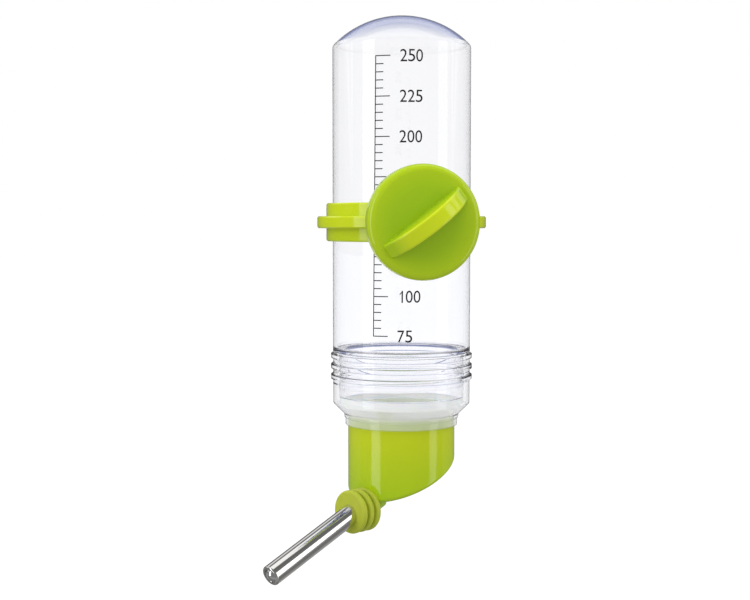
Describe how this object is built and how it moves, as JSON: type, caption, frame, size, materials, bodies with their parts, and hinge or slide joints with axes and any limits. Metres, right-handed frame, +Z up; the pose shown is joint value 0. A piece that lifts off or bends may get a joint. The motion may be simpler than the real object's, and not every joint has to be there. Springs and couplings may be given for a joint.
{
  "type": "small animal water bottle",
  "caption": "Inverted clear drinking bottle with a screw collar, slanting outlet, steel ball-valve tube and a clamp ring with a knob for cage bars.",
  "frame": {"origin": "centre of the clamp ring's flat pad, where the cage bars bear, on the clamp's axis", "axes": "+Z up along the bottle; -Y is the clamp's axis, from the bottle out through the cage bars to the knob; +X to the right seen from the knob"},
  "size_m": [0.0867, 0.0754, 0.1955],
  "materials": {
    "clear_plastic": "clear, glossy",
    "lime_plastic": "glossy moulded",
    "lime_rubber": "satin",
    "seal_rubber": "satin, translucent",
    "polished_steel": "polished",
    "plain_steel": "zinc plated",
    "brass": "machined"
  },
  "bodies": {
    "bracket": {"clamp_ring": "lime_plastic", "clamp_screw": "plain_steel"},
    "washer": {"cage_washer": "plain_steel"},
    "knob": {"knob": "lime_plastic", "knob_insert": "brass"},
    "bottle": {"bottle_shell": "clear_plastic"},
    "seal": {"neck_gasket": "seal_rubber"},
    "collar": {"collar": "clear_plastic"},
    "spout": {"elbow_body": "lime_plastic", "grommet": "lime_rubber", "nozzle_tube": "polished_steel", "valve_spring": "plain_steel"},
    "ball": {"valve_ball": "polished_steel"}
  },
  "joints": [
    {"name": "knob_turn", "type": "hinge", "parent": "washer", "child": "knob", "pos_m": [0, 0, 0], "axis": [0, -1, 0], "range_deg": [0, 4320]},
    {"name": "washer_travel", "type": "slide", "parent": "bracket", "child": "washer", "axis": [0, -1, 0], "range_m": [0, 0.0084]},
    {"name": "bottle_slide", "type": "slide", "parent": "bracket", "child": "bottle", "axis": [0, 0, 1], "range_m": [-0.055, 0.0405]},
    {"name": "collar_turn", "type": "hinge", "parent": "seal", "child": "collar", "pos_m": [0, 0.0279, -0.06], "axis": [0, 0, -1], "range_deg": [0, 1440]},
    {"name": "seal_drop", "type": "slide", "parent": "bottle", "child": "seal", "axis": [0, 0, -1], "range_m": [0, 0.012]},
    {"name": "spout_swivel", "type": "hinge", "parent": "seal", "child": "spout", "pos_m": [0, 0.0279, -0.08], "axis": [0, 0, 1], "continuous": true},
    {"name": "ball_push", "type": "slide", "parent": "spout", "child": "ball", "axis": [0.7876, 0.4941, 0.3681], "range_m": [0, 0.0015], "stiffness_N_per_m": 80, "springref_m": -0.0015, "deforming": ["valve_spring"]}
  ],
  "couplings": [
    {"joint": "knob_turn", "follows": "washer_travel", "rad_per_m": 8976},
    {"joint": "collar_turn", "follows": "seal_drop", "rad_per_m": 2094.4}
  ]
}
